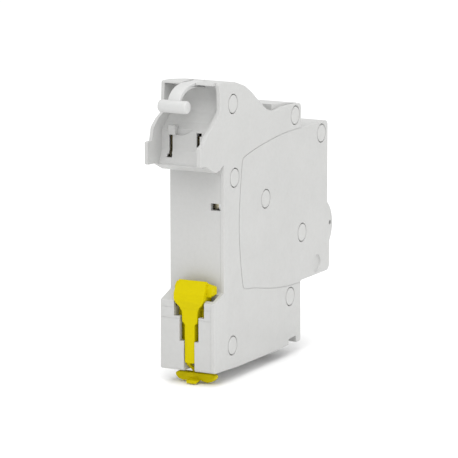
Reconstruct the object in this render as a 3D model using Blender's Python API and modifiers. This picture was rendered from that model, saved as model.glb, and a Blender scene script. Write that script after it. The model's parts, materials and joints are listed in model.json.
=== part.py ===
"""One-module circuit breaker for a 35 mm rail, with plug-in comb contacts at the rear top.

Frame: origin at the centre of the rail seat face, +Y to the rear (towards the rail),
+Z up, X across the 18 mm width. The toggle faces -Y. All named dimensions are in
millimetres and are turned into metres where geometry is made.
"""

import math

import bmesh
import bpy
from mathutils import Matrix, Vector

MM = 0.001

# ---- overall -----------------------------------------------------------------
WIDTH = 18.0
XL = -WIDTH / 2          # left face, outside of the cover
XR = WIDTH / 2           # right face, outside of the tray
COVER_T = 1.2            # cover plate thickness
GAP = 0.25               # running and seating gap between moulded pieces
WALL = 1.5
XC = XL + COVER_T        # inside face of the cover
XB = XC + GAP            # open edge of the tray

REAR_BLOCK_Y = 6.0       # rear face of the lower block
FRONT_Y = -49.15         # front face of the two shoulders
NOSE_Y = -67.2           # front face of the nose
CHIN_Y = -68.7           # front face of the nose below the toggle
TOP_Z = 41.4
BOTTOM_Z = -44.3
SHOULDER_Z = 28.5
NOSE_TOP_Z = 21.3
NOSE_BOT_Z = -25.6
STEP = 0.3               # rail recess is stepped back this far beyond the seat face
SEAT_TOP_Z = 15.0
SEAT_BOT_Z = -15.4

# ---- toggle ------------------------------------------------------------------
TOG = (-62.1, -11.1)     # toggle axis, Y and Z
DRUM_R = 8.0
CHEEK_R = 8.6
TOG_HALF = 5.0
LEVER_OUT = 13.9         # lever tip distance from the axis
OFF_ANGLE = 39.0         # lever below the horizontal when off
CRANK_R = 3.2

# ---- comb jaws' centre planes, phase and neutral
JAW_X = (-4.1, 4.8)

# ---- contact system ----------------------------------------------------------
CAR = (-40.0, 4.0)       # carrier axis
ARM_L = 12.5
ARM_OPEN = 10.0          # arm angle from straight down when open
PX, NX = -3.0, 5.2       # centre planes of the phase and neutral contacts
DIV = (1.5, 2.5)         # pole divider plane, low and high X
STRAP_Y = -29.4          # centre plane of the fixed contact straps

# ---- rivets ------------------------------------------------------------------
RIVETS = [(-5.7, 34.3), (-45.4, 25.6), (-6.7, 12.5), (-26.3, 3.2),
          (-50.1, -10.9), (-63.0, 17.7), (-42.3, -29.3), (-5.3, -37.1)]
PLUG_R = 2.65
POST_R = 2.2

# ---- magnetic release --------------------------------------------------------
COIL_Z = 21.6
COIL_Y = (-27.4, -15.6)  # front and rear inside faces of the bobbin flanges
COIL_R = 3.1
WIRE_R = 0.65
TURNS = 7

# ---- trip lever --------------------------------------------------------------
TRIP = (-36.0, 10.5)

# ---- terminals ---------------------------------------------------------------
TERM_X = (-4.3, 5.0)
TERM_Z = -36.0

# ---- rail clip ---------------------------------------------------------------
CLIP_X = -0.6
CLIP_TRAVEL = 2.7

# ---- comb latch --------------------------------------------------------------
LATCH_AX = (-0.9, 40.3)
LATCH_X = (-2.15, 1.75)
TBAR = (13.4, 35.4)
TBAR_R = 1.85

AXES = {
    "X": Matrix(((0, 0, 1), (1, 0, 0), (0, 1, 0))),
    "Y": Matrix(((0, 1, 0), (0, 0, 1), (1, 0, 0))),
    "Z": Matrix.Identity(3),
}


# ---- scene, collections and materials ----------------------------------------
for old in list(bpy.data.objects):
    bpy.data.objects.remove(old, do_unlink=True)

PARTS = bpy.data.collections.new("circuit_breaker")
CUTTERS = bpy.data.collections.new("cutters")
bpy.context.scene.collection.children.link(PARTS)
bpy.context.scene.collection.children.link(CUTTERS)


def material(name, colour, roughness, metallic=0.0):
    made = bpy.data.materials.new(name)
    made.use_nodes = True
    shader = made.node_tree.nodes["Principled BSDF"]
    shader.inputs["Base Color"].default_value = (*colour, 1.0)
    shader.inputs["Roughness"].default_value = roughness
    shader.inputs["Metallic"].default_value = metallic
    made.diffuse_color = (*colour, 1.0)
    return made


HOUSING = material("housing_plastic", (0.66, 0.66, 0.64), 0.55)
COVER = material("cover_plastic", (0.67, 0.67, 0.645), 0.55)
PLUG = material("plug_plastic", (0.66, 0.66, 0.64), 0.5)
CLIP = material("yellow_clip", (0.73, 0.61, 0.01), 0.42)
TOGGLE = material("toggle_plastic", (0.03, 0.03, 0.032), 0.4)
NYLON = material("nylon_mechanism", (0.09, 0.09, 0.1), 0.5)
STEEL = material("zinc_steel", (0.55, 0.56, 0.57), 0.35, 1.0)
COPPER = material("copper", (0.72, 0.36, 0.2), 0.32, 1.0)
BRASS = material("tinned_brass", (0.66, 0.58, 0.38), 0.35, 1.0)
SILVER = material("silver_contact", (0.8, 0.79, 0.76), 0.3, 1.0)
FIBRE = material("fibre_sheet", (0.45, 0.2, 0.08), 0.7)
FLAG = material("flag_plastic", (0.05, 0.35, 0.08), 0.5)
ENAMEL = material("enamelled_copper", (0.5, 0.16, 0.05), 0.3, 1.0)
BIMETAL = material("bimetal_steel", (0.5, 0.46, 0.4), 0.38, 1.0)


# ---- modelling helpers -------------------------------------------------------
def link(obj, collection, mat=None):
    collection.objects.link(obj)
    if mat is not None:
        obj.data.materials.append(mat)
    if collection is CUTTERS:
        obj.hide_render = True
        obj.display_type = "WIRE"
    return obj


def smooth(mesh, angle=35.0):
    mesh.shade_smooth()
    mesh.set_sharp_from_angle(angle=math.radians(angle))


def mesh_from_curve(name, curve, matrix, collection, mat, angle=35.0):
    """A curve's evaluated solid as a welded mesh object; the curve goes."""
    guide = bpy.data.objects.new(name + "_guide", curve)
    CUTTERS.objects.link(guide)
    guide.matrix_world = matrix
    bpy.context.view_layer.update()
    graph = bpy.context.evaluated_depsgraph_get()
    mesh = bpy.data.meshes.new_from_object(guide.evaluated_get(graph))
    mesh.transform(matrix)
    bpy.data.objects.remove(guide, do_unlink=True)
    bpy.data.curves.remove(curve)
    work = bmesh.new()
    work.from_mesh(mesh)
    bmesh.ops.remove_doubles(work, verts=work.verts, dist=0.000001)
    bmesh.ops.recalc_face_normals(work, faces=work.faces)
    work.to_mesh(mesh)
    work.free()
    mesh.name = name
    mesh.materials.clear()
    smooth(mesh, angle)
    return link(bpy.data.objects.new(name, mesh), collection, mat)


def rounded(points, seg=4):
    """Corner list (u, v[, radius]) to a point list with arcs at the corners."""
    out = []
    n = len(points)
    for i, item in enumerate(points):
        p = Vector(item[:2])
        r = item[2] if len(item) > 2 else 0.0
        if r <= 0:
            out.append((p.x, p.y))
            continue
        a = Vector(points[i - 1][:2]) - p
        b = Vector(points[(i + 1) % n][:2]) - p
        half = a.angle(b) / 2
        cut = min(r / math.tan(half), a.length * 0.48, b.length * 0.48)
        r = cut * math.tan(half)
        a.normalize()
        b.normalize()
        centre = p + (a + b).normalized() * (r / math.sin(half))
        start, end = p + a * cut - centre, p + b * cut - centre
        turn = start.angle_signed(end)
        for k in range(seg + 1):
            t = -turn * k / seg
            out.append((centre.x + start.x * math.cos(t) - start.y * math.sin(t),
                        centre.y + start.x * math.sin(t) + start.y * math.cos(t)))
    return out


def circle(u, v, r, seg=24, start=0.0):
    return [(u + r * math.cos(start + 2 * math.pi * k / seg),
             v + r * math.sin(start + 2 * math.pi * k / seg)) for k in range(seg)]


def arc(u, v, r, a0, a1, seg):
    """Points on an arc, angles in degrees."""
    return [(u + r * math.cos(math.radians(a0 + (a1 - a0) * k / seg)),
             v + r * math.sin(math.radians(a0 + (a1 - a0) * k / seg))) for k in range(seg + 1)]


def slab(name, loops, lo, hi, axis="X", mat=None, collection=None):
    """Flat outline (first loop) with holes (other loops), extruded from lo to hi.

    The outline's coordinates are (Y, Z) on axis X, (Z, X) on axis Y and (X, Y) on axis Z.
    """
    curve = bpy.data.curves.new(name, "CURVE")
    curve.dimensions = "2D"
    curve.fill_mode = "BOTH"
    curve.extrude = abs(hi - lo) / 2 * MM
    for loop in loops:
        spline = curve.splines.new("POLY")
        spline.points.add(len(loop) - 1)
        for point, (u, v) in zip(spline.points, loop):
            point.co = (u * MM, v * MM, 0, 1)
        spline.use_cyclic_u = True
    turn = AXES[axis].to_4x4()
    move = Matrix.Translation(AXES[axis] @ Vector((0, 0, (lo + hi) / 2 * MM)))
    return mesh_from_curve(name, curve, move @ turn, collection or (PARTS if mat else CUTTERS), mat)


def block(name, x, y, z, mat=None):
    """A box between two corners, from a cube primitive."""
    mesh = bpy.data.meshes.new(name)
    work = bmesh.new()
    size = Vector((x[1] - x[0], y[1] - y[0], z[1] - z[0])) * MM
    mid = Vector((x[0] + x[1], y[0] + y[1], z[0] + z[1])) / 2 * MM
    bmesh.ops.create_cube(work, size=1.0,
                          matrix=Matrix.Translation(mid) @ Matrix.Diagonal((*size, 1.0)))
    work.to_mesh(mesh)
    work.free()
    return link(bpy.data.objects.new(name, mesh), PARTS if mat else CUTTERS, mat)


def rod(name, axis, centre, r, lo, hi, mat=None, seg=20, r2=None):
    """A cylinder or cone along an axis; centre is the outline pair of that axis."""
    mesh = bpy.data.meshes.new(name)
    work = bmesh.new()
    place = AXES[axis] @ Vector((centre[0], centre[1], (lo + hi) / 2)) * MM
    bmesh.ops.create_cone(work, cap_ends=True, segments=seg, radius1=r * MM,
                          radius2=(r if r2 is None else r2) * MM, depth=(hi - lo) * MM,
                          matrix=Matrix.Translation(place) @ AXES[axis].to_4x4())
    work.to_mesh(mesh)
    work.free()
    smooth(mesh)
    return link(bpy.data.objects.new(name, mesh), PARTS if mat else CUTTERS, mat)


def turned(name, axis, centre, profile, mat=None, seg=20):
    """A turned solid: profile of (radius, height) pairs from the bottom to the top."""
    mesh = bpy.data.meshes.new(name)
    work = bmesh.new()
    # the profile runs down its outer side, top to bottom
    closed = profile[0] == profile[-1]
    verts = [work.verts.new((r * MM, 0, h * MM)) for r, h in reversed(profile[closed:])]
    for a, b in zip(verts, verts[1:] + verts[:1] * closed):
        work.edges.new((a, b))
    work.to_mesh(mesh)
    work.free()
    obj = link(bpy.data.objects.new(name, mesh), PARTS if mat else CUTTERS, mat)
    obj.matrix_world = (Matrix.Translation(AXES[axis] @ Vector((centre[0], centre[1], 0)) * MM)
                        @ AXES[axis].to_4x4())
    screw = obj.modifiers.new("turn", "SCREW")
    screw.steps = screw.render_steps = seg
    screw.use_merge_vertices = True
    screw.merge_threshold = 0.00001
    screw.use_smooth_shade = True
    return obj


def cut(obj, *cutters):
    for cutter in cutters:
        boolean = obj.modifiers.new("cut_" + cutter.name, "BOOLEAN")
        boolean.operation = "DIFFERENCE"
        boolean.object = cutter
    return obj


def join(obj, *others):
    for other in others:
        boolean = obj.modifiers.new("join_" + other.name, "BOOLEAN")
        boolean.operation = "UNION"
        boolean.object = other
    return obj


def keep(obj, other):
    boolean = obj.modifiers.new("keep_" + other.name, "BOOLEAN")
    boolean.operation = "INTERSECT"
    boolean.object = other
    return obj


def strip(path, thickness):
    """Outline of a bent strip: a centre line given a thickness, mitred at the bends."""
    left, right = [], []
    for i, p in enumerate(path):
        p = Vector(p)
        d1 = (p - Vector(path[i - 1])).normalized() if i else None
        d2 = (Vector(path[i + 1]) - p).normalized() if i + 1 < len(path) else None
        d1 = d1 or d2
        d2 = d2 or d1
        n1, n2 = Vector((-d1.y, d1.x)), Vector((-d2.y, d2.x))
        m = (n1 + n2).normalized()
        m *= thickness / 2 / m.dot(n1)
        left.append(tuple(p + m))
        right.append(tuple(p - m))
    return left + right[::-1]


def wire(name, points, radius, mat, resolution=2):
    """A round wire through a list of (x, y, z) points."""
    curve = bpy.data.curves.new(name, "CURVE")
    curve.dimensions = "3D"
    curve.bevel_depth = radius * MM
    curve.bevel_resolution = resolution
    curve.use_fill_caps = True
    spline = curve.splines.new("POLY")
    spline.points.add(len(points) - 1)
    for point, (x, y, z) in zip(spline.points, points):
        point.co = (x * MM, y * MM, z * MM, 1)
    return mesh_from_curve(name, curve, Matrix.Identity(4), PARTS, mat, 50.0)


def helix(axis, centre, r, lo, hi, turns, per_turn=12, phase=0.0):
    """Points of a helix along an axis from lo to hi."""
    out = []
    n = int(turns * per_turn)
    for k in range(n + 1):
        t = k / n
        a = phase + 2 * math.pi * turns * t
        p = AXES[axis] @ Vector((centre[0] + r * math.cos(a), centre[1] + r * math.sin(a),
                                 lo + (hi - lo) * t))
        out.append(tuple(p))
    return out


def spline_points(knots, per_span):
    """A smooth open curve through its knots (Catmull-Rom)."""
    pts = [Vector(k) for k in knots]
    pts = [pts[0] * 2 - pts[1]] + pts + [pts[-1] * 2 - pts[-2]]
    out = []
    for a, b, c, d in zip(pts, pts[1:], pts[2:], pts[3:]):
        for k in range(per_span):
            t = k / per_span
            out.append(tuple(0.5 * ((2 * b) + (c - a) * t + (2 * a - 5 * b + 4 * c - d) * t * t
                                    + (3 * b - a - 3 * c + d) * t * t * t)))
    out.append(tuple(pts[-2]))
    return out


def turn_about(point, axis, degrees):
    """(Y, Z) point turned about an (Y, Z) axis, positive from +Y to +Z."""
    a = math.radians(degrees)
    y, z = point[0] - axis[0], point[1] - axis[1]
    return (axis[0] + y * math.cos(a) - z * math.sin(a),
            axis[1] + y * math.sin(a) + z * math.cos(a))


# ---- side outline ------------------------------------------------------------
HOOK_LEFT = [(2.3, 38.0, 2.0), (2.2, 33.0, 2.0), (7.2, 28.8, 2.0), (10.2, 27.1, 2.0),
             (12.3, 24.9, 0.8), (14.3, 23.9, 0.5), (14.3, 18.4, 0.5), (10.9, 18.3, 1.0),
             (8.5, 17.1, 1.0), (4.6, 15.5, 0.8), (2.6, 15.9, 0.8)]
HOOK_RIGHT = [(5.1, 36.5, 1.0), (5.4, 32.3, 1.0), (8.5, 30.9, 1.5), (11.3, 28.7, 1.0),
              (12.3, 24.9, 0.4), (14.9, 24.9, 0.5), (14.9, 18.2, 0.5), (10.3, 18.0, 1.0),
              (6.6, 16.3, 0.8), (4.7, 15.5, 0.8), (2.6, 15.9, 0.8)]
LOWER = [(0.0 - STEP, 17.2), (0.0 - STEP, SEAT_TOP_Z), (0.0, SEAT_TOP_Z), (0.0, SEAT_BOT_Z),
         (0.0 - STEP, SEAT_BOT_Z), (0.0 - STEP, -20.5, 0.4),
         (REAR_BLOCK_Y, -22.8, 0.5), (REAR_BLOCK_Y, -43.4, 0.7), (-8.0, -44.1),
         (-30.0, BOTTOM_Z), (-41.3, -44.1), (-41.3, -42.4, 0.4), (-46.0, -42.1, 0.4),
         (-46.6, -44.2), (FRONT_Y, -44.3, 1.0), (FRONT_Y, NOSE_BOT_Z, 0.4),
         (CHIN_Y, NOSE_BOT_Z, 2.0), (CHIN_Y, -16.7)]
CHEEK = arc(TOG[0], TOG[1], CHEEK_R, 219.0, 127.0, 10)
UPPER = [(NOSE_Y, -3.4), (NOSE_Y, NOSE_TOP_Z, 1.5), (FRONT_Y, NOSE_TOP_Z, 0.4),
         (FRONT_Y, SHOULDER_Z, 1.3), (-34.0, 28.3, 2.0), (-29.0, 28.8, 3.0), (-25.6, 30.0, 3.0),
         (-20.6, 34.2, 3.0), (-15.0, 37.7, 4.0), (-9.0, 40.2, 4.0), (0.0, 41.2, 4.0)]


def side_outline(hook):
    top_y = 3.2 if hook is HOOK_LEFT else 4.8
    return rounded([(top_y, TOP_Z, 0.8)] + hook + LOWER + CHEEK + UPPER, 3)


# ---- tray --------------------------------------------------------------------
right_outline = side_outline(HOOK_RIGHT)
base = slab("base_housing", [right_outline], XB, XR, "X", HOUSING)

# socket for the comb: open to the rear between the two side walls
SOCKET = [(30.0, 60.0), (30.0, 10.0), (9.0, 10.0), (9.0, 17.6), (8.2, 17.9, 0.4), (6.6, 21.6),
          (6.6, 27.4, 0.8), (3.6, 29.6, 1.5), (0.4, 32.6, 3.0), (-0.6, 36.0, 3.0),
          (-0.6, 40.4, 1.0), (4.0, 40.7), (4.0, 60.0)]
socket = slab("cut_socket", [rounded(SOCKET[:-2] + [(7.0, 40.8), (7.0, 60.0)], 4)], -12.0, 7.8)
pocket = rod("cut_pocket", "Y", (31.4, 1.8), 5.4, 5.9, 9.0, seg=32)

# inside of the tray, a wall thickness inside the outline
CAVITY = [(-1.5, 18.4, 0.5), (5.1, 18.8, 0.5), (5.1, 26.4, 0.5), (2.3, 27.4, 1.0),
          (-1.4, 31.2, 1.5), (-2.3, 35.0), (-2.3, 39.2, 0.5), (-8.6, 38.6, 2.0), (-14.5, 36.2, 3.0),
          (-19.6, 33.0, 3.0), (-24.6, 28.7, 3.0), (-28.5, 27.3, 2.0), (-34.0, 26.8),
          (FRONT_Y + WALL, 26.9, 0.5), (FRONT_Y + WALL, 19.8, 0.5), (NOSE_Y + WALL, 19.8, 0.5),
          (NOSE_Y + WALL, -4.5, 0.5)]
CAVITY_CHEEK = arc(TOG[0], TOG[1], CHEEK_R - WALL, 132.0, 214.0, 8)
CAVITY_LOW = [(CHIN_Y + WALL, -17.0), (CHIN_Y + WALL, NOSE_BOT_Z + WALL, 1.0),
              (FRONT_Y + WALL, NOSE_BOT_Z + WALL, 0.5), (FRONT_Y + WALL, -40.9, 0.5),
              (-41.0, -40.9, 0.3), (-40.6, -42.7, 0.3), (-1.5, -42.4, 0.5)]
cavity = slab("cut_cavity", [rounded(CAVITY + CAVITY_CHEEK + CAVITY_LOW, 3)], -12.0, XR - WALL)

posts = []
for i, (y, z) in enumerate(RIVETS):
    posts.append(rod(f"add_post_{i}", "X", (y, z), POST_R, XB, XR - 0.6, seg=16))
jaw_wall = block("add_jaw_wall", (DIV[0], DIV[1]), (-1.6, 5.8), (18.2, 26.9))
pin_boss = rod("add_pin_boss", "X", TOG, 2.6, 5.5, XR - 0.6, seg=20)

holes = []
for i, (y, z) in enumerate(RIVETS):
    holes.append(rod(f"cut_post_{i}", "X", (y, z), 1.35, -12.0, -2.0, seg=12))
pin_bore = rod("cut_pin_bore", "X", TOG, 1.45, -12.0, 7.4, seg=16)

# comb slots through the socket's inner wall, neutral and phase
slot_n = block("cut_slot_n", (4.25, 5.35), (3.0, 9.0), (19.6, 26.0))
slot_p = block("cut_slot_p", (-4.65, -3.6), (3.0, 9.0), (19.6, 27.1))
slot_p2 = block("cut_slot_p2", (-5.3, -3.6), (3.0, 9.0), (26.1, 27.1))
slot_n2 = block("cut_slot_n2", (4.05, 5.75), (3.0, 9.0), (19.5, 20.5))
slot_thin = [slab(f"cut_slot_thin_{i}", [[(4.9, 19.3), (7.05, 19.3), (6.05, 21.7), (6.05, 26.2), (4.9, 26.2)]],
                  x - 1.6, x + 1.6) for i, x in enumerate(JAW_X)]
slot_tab = block("add_slot_tab", (3.0, 5.2), (5.4, 7.5), (26.3, 28.9))

# calibration window in the rail recess
window = block("cut_window", (-12.0, -4.6), (-3.0, 3.0), (3.6, 5.7))

# toggle opening with its cheeks, and the flag window above it
toggle_round = rod("cut_toggle_round", "X", TOG, DRUM_R + 0.35, -TOG_HALF - 0.35, TOG_HALF + 0.35,
                   seg=40)
toggle_front = block("cut_toggle_front", (-TOG_HALF - 0.35, TOG_HALF + 0.35), (-80.0, -64.0),
                     (-20.6, -1.7))
flag_window = block("cut_flag_window", (-2.6, 2.6), (-70.0, -64.5), (5.0, 8.0))

# wire entries below, screwdriver holes in front
entries = [block(f"cut_entry_{i}", (x - 2.6, x + 2.6 - (0.5 if x > 0 else 0)), (-40.4, -33.2), (-50.0, -40.0))
           for i, x in enumerate(TERM_X)]
drivers = [rod(f"cut_driver_{i}", "Y", (TERM_Z, x), 2.9 if x < 0 else 2.75, -60.0, -46.0, seg=24)
           for i, x in enumerate(TERM_X)]

# slot of the rail clip: three widths, an undercut pocket for the wings, the foot channel
slot_top = block("cut_clip_top", (CLIP_X - 5.0, CLIP_X + 5.0), (1.0, 9.0), (-27.3, -15.0))
slot_wing = block("cut_clip_wing", (-12.0, CLIP_X + 7.2), (1.0, 4.6), (-25.2, -15.0))
slot_mid = block("cut_clip_mid", (CLIP_X - 3.15, CLIP_X + 3.15), (1.0, 9.0), (-34.6, -26.0))
slot_plate = block("cut_clip_plate", (CLIP_X - 5.0, CLIP_X + 5.0), (1.0, 4.5), (-38.6, -20.0))
slot_foot = block("cut_clip_foot", (CLIP_X - 6.9, CLIP_X + 6.9), (-4.5, 4.3), (-50.0, -43.4))
slot_low = block("cut_clip_low", (CLIP_X - 1.8, CLIP_X + 1.8), (2.0, 9.0), (-50.0, -33.0))
slot_channel = slab("cut_clip_channel", [[(9.0, -50.0), (9.0, -41.0), (3.0, -41.0), (-3.6, -43.2),
                                          (-3.6, -50.0)]], CLIP_X - 1.8, CLIP_X + 1.8)

# vent beside the cover in the top shoulder, finger recess and lever notch in the top
vent = block("cut_vent", (-12.0, -5.0), (-32.2, -23.9), (26.0, 40.0))
recess = rod("cut_recess", "X", (-4.6, 42.9), 3.4, -1.2, 4.6, seg=24)
notch = block("cut_lever_notch", (LATCH_X[0] - 0.3, LATCH_X[1] + 0.3), (-2.0, 9.0), (38.9, 45.0))

cut(base, cavity)
join(base, *posts, jaw_wall, pin_boss)
cut(base, socket, pocket, *holes, pin_bore, slot_n, slot_p, slot_p2, slot_n2, window,
    toggle_round, toggle_front, flag_window, *entries, *drivers, slot_top, slot_wing, slot_mid,
    slot_plate, slot_low, slot_foot, slot_channel, vent, recess, notch, *slot_thin)
join(base, slot_tab)

# ---- cover -------------------------------------------------------------------
cover_loops = [side_outline(HOOK_LEFT)] + [circle(y, z, PLUG_R + GAP, 24) for y, z in RIVETS]
cover = slab("side_cover", cover_loops, XL, XC, "X", COVER)
cover_pin = rod("cut_cover_pin", "X", TOG, 1.5, XC - 0.6, XC + 1.0, seg=16)
seal_hole = rod("cut_seal_hole", "X", (-68.9, -10.9), 0.7, -12.0, -4.0, seg=12)
dimple = rod("cut_dimple", "X", (-59.9, -22.2), 2.6, XL - 1.0, XL + 0.5, seg=24)
cut(cover, cover_pin, seal_hole, dimple)

# ---- rivet plugs: a flush disc with a pin into its post ------------------------
for i, (y, z) in enumerate(RIVETS):
    turned(f"rivet_plug_{i + 1}", "X", (y, z),
           [(0.0, XL + 0.02), (PLUG_R, XL + 0.02), (PLUG_R, XC - 0.05), (1.1, XC - 0.05),
            (1.1, -2.6), (0.7, -2.3), (0.0, -2.3)], PLUG, 20)

# ---- toggle ------------------------------------------------------------------
lever_dir = 180.0 + OFF_ANGLE      # pointing to the front and down


def polar(axis, r, degrees):
    return (axis[0] + r * math.cos(math.radians(degrees)),
            axis[1] + r * math.sin(math.radians(degrees)))


toggle = slab("toggle_handle", [circle(*TOG, DRUM_R, 40)], -TOG_HALF, TOG_HALF, "X", TOGGLE)
lever = slab("add_toggle_lever",
             [rounded([polar(TOG, 6.0, lever_dir + 34), (*polar(TOG, LEVER_OUT - 0.6, lever_dir + 9), 1.2),
                       (*polar(TOG, LEVER_OUT, lever_dir - 6), 1.2), polar(TOG, 7.0, lever_dir - 34)], 3)],
             -TOG_HALF + 0.4, TOG_HALF - 0.4)
toggle_bore = rod("cut_toggle_bore", "X", TOG, 1.45, -12.0, 12.0, seg=20)
crank = polar(TOG, CRANK_R, lever_dir - 180.0)
slot_a, slot_b = polar(crank, 1.6, -45.0), polar(crank, 1.6, 221.0)
link_slot = slab("cut_link_slot",
                 [[slot_a, polar(slot_a, 15.0, 44.0), polar(crank, 20.0, 90.0),
                   polar(slot_b, 15.0, 137.0), slot_b, polar(crank, 1.6, 270.0)]], -1.1, 1.1)
spring_slot = rod("cut_spring_slot", "X", TOG, 3.1, 3.3, 9.0, seg=28)
crank_bore = rod("cut_crank_bore", "X", crank, 0.75, -3.3, 1.9, seg=16)
join(toggle, lever)
cut(toggle, link_slot, crank_bore, spring_slot, toggle_bore)
rod("toggle_pin", "X", TOG, 1.2, -8.2, 7.1, STEEL, 20)
rod("crank_pin", "X", crank, 0.6, -3.0, 1.6, STEEL, 14)
spring_pts = helix("X", TOG, 2.3, 3.75, 4.9, 2.5, 12, math.radians(200))
wire("toggle_spring", spring_pts, 0.19, STEEL, 1)

# ---- drive link --------------------------------------------------------------
EAR = (CAR[0] - 8.6, CAR[1] + 1.6)
link_dir = Vector(EAR) - Vector(crank)
side = Vector((-link_dir.y, link_dir.x)).normalized() * 0.9
a0 = math.degrees(math.atan2(side.y, side.x))
link_outline = (arc(*crank, 1.3, a0, a0 + 180, 8) + arc(*EAR, 2.2, a0 + 180, a0 + 360, 10))
slab("drive_link", [link_outline, circle(*crank, 0.75, 14), circle(*EAR, 1.35, 16)], -0.6, 0.6, "X", STEEL)

# ---- contact carrier with its two arms ----------------------------------------
carrier = slab("contact_carrier", [circle(*CAR, 2.4, 24)], -5.2, 7.0, "X", NYLON)
ear = slab("add_ear", [arc(*CAR, 2.2, -60, 60, 6) + arc(*EAR, 1.5, 120, 240, 6)], -2.3, -1.0)
ear_pin = rod("add_ear_pin", "X", EAR, 0.5, -1.6, 0.5, seg=12)
carrier_bore = rod("cut_carrier_bore", "X", CAR, 1.25, -12.0, 12.0, seg=20)
seats = [slab(f"cut_arm_seat_{i}", [[(CAR[0] - 5, CAR[1] + 5), (CAR[0] - 5, CAR[1] - 5),
                                     (CAR[0] + 5, CAR[1] - 5), (CAR[0] + 5, CAR[1] + 5)],
                                    circle(*CAR, 1.75, 20)], x - 0.75, x + 0.75)
         for i, x in enumerate((PX, NX))]
join(carrier, ear, ear_pin)
cut(carrier, carrier_bore, *seats)
rod("carrier_pin", "X", CAR, 1.0, -7.2, 7.4, STEEL, 16)

down = -90.0 + ARM_OPEN
tip = polar(CAR, ARM_L, down)


def arm_frame(along, across):
    """A point of the contact arm: along it from the axis, across it to the rear."""
    d = math.radians(down)
    return (CAR[0] + along * math.cos(d) - across * math.sin(d) * 1.0,
            CAR[1] + along * math.sin(d) + across * math.cos(d))


for name, x in (("phase", PX), ("neutral", NX)):
    outline = arc(*CAR, 3.3, down + 100, down + 260, 10)
    outline += [arm_frame(6.5, -1.5), arm_frame(ARM_L + 1.6, -1.0), arm_frame(ARM_L + 2.6, 0.2),
                arm_frame(ARM_L + 1.4, 1.0), arm_frame(6.5, 1.2)]
    slab(f"{name}_contact_arm", [outline, circle(*CAR, 1.95, 20)], x - 0.6, x + 0.6, "X", COPPER)
    pad = [arm_frame(ARM_L - 1.3, 1.2), arm_frame(ARM_L + 1.2, 1.2), arm_frame(ARM_L + 1.2, 2.1),
           arm_frame(ARM_L - 1.3, 2.1)]
    slab(f"{name}_moving_tip", [pad], x - 1.3, x + 1.3, "X", SILVER)
    block(f"{name}_fixed_tip", (x - 1.5, x + 1.5), (STRAP_Y - 1.2, STRAP_Y - 0.6),
          (-7.4, -3.4), SILVER)

# ---- fixed contacts ----------------------------------------------------------
slab("phase_fixed_strap", [strip([(STRAP_Y, 17.0), (STRAP_Y, -8.4), (-28.2, -10.4), (-15.0, -10.9)], 1.0)],
     PX - 2.0, PX + 1.8, "X", COPPER)
slab("neutral_line_strap", [strip([(-2.6, 23.0), (STRAP_Y, 23.0), (STRAP_Y, -8.6)], 1.0)],
     3.5, 7.1, "X", COPPER)

# ---- comb jaws ---------------------------------------------------------------
for name, x in zip(("phase", "neutral"), JAW_X):
    jaw = [(x - 1.9, -1.0), (x + 1.9, -1.0), (x + 1.9, 1.6), (x + 1.25, 3.2), (x + 1.65, 4.7),
           (x + 0.95, 4.7), (x + 0.55, 3.2), (x + 1.1, 1.6), (x + 1.1, 0.0), (x - 1.1, 0.0),
           (x - 1.1, 1.6), (x - 0.55, 3.2), (x - 0.95, 4.7), (x - 1.65, 4.7), (x - 1.25, 3.2),
           (x - 1.9, 1.6)]
    slab(f"{name}_jaw", [jaw], 19.4, 25.8, "Z", BRASS)

# ---- magnetic release --------------------------------------------------------
bobbin = turned("coil_bobbin", "Y", (COIL_Z, PX),
                [(1.6, COIL_Y[0] - 0.6), (3.9, COIL_Y[0] - 0.6), (3.9, COIL_Y[0]), (2.15, COIL_Y[0]),
                 (2.15, COIL_Y[1]), (3.9, COIL_Y[1]), (3.9, COIL_Y[1] + 0.6), (1.6, COIL_Y[1] + 0.6),
                 (1.6, COIL_Y[0] - 0.6)], NYLON, 24)
wire("trip_coil", helix("Y", (COIL_Z, PX), COIL_R, COIL_Y[0] + 0.9, COIL_Y[1] - 0.9, TURNS, 14),
     WIRE_R, ENAMEL, 2)
yoke_path = strip([(COIL_Y[1] + 1.4, 18.0), (COIL_Y[1] + 1.4, 26.3), (COIL_Y[0] - 1.4, 26.3),
                   (COIL_Y[0] - 1.4, 18.0)], 1.0)
yoke = slab("coil_yoke", [yoke_path], -6.8, 0.8, "X", STEEL)
yoke_bore = rod("cut_yoke_bore", "Y", (COIL_Z, PX), 1.5, -40.0, -10.0, seg=20)
cut(yoke, yoke_bore)
turned("coil_core", "Y", (COIL_Z, PX),
       [(0.65, -28.6), (1.35, -28.6), (1.35, -24.3), (0.65, -24.3), (0.65, -28.6)], STEEL, 18)
turned("plunger", "Y", (COIL_Z, PX),
       [(0.0, -32.4), (0.45, -32.4), (0.45, -20.9), (1.3, -20.8), (1.3, -13.4), (1.0, -13.1), (0.0, -13.1)],
       STEEL, 18)
wire("plunger_spring", helix("Y", (COIL_Z, PX), 0.92, -24.0, -21.2, 3, 10), 0.18, STEEL, 1)

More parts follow.
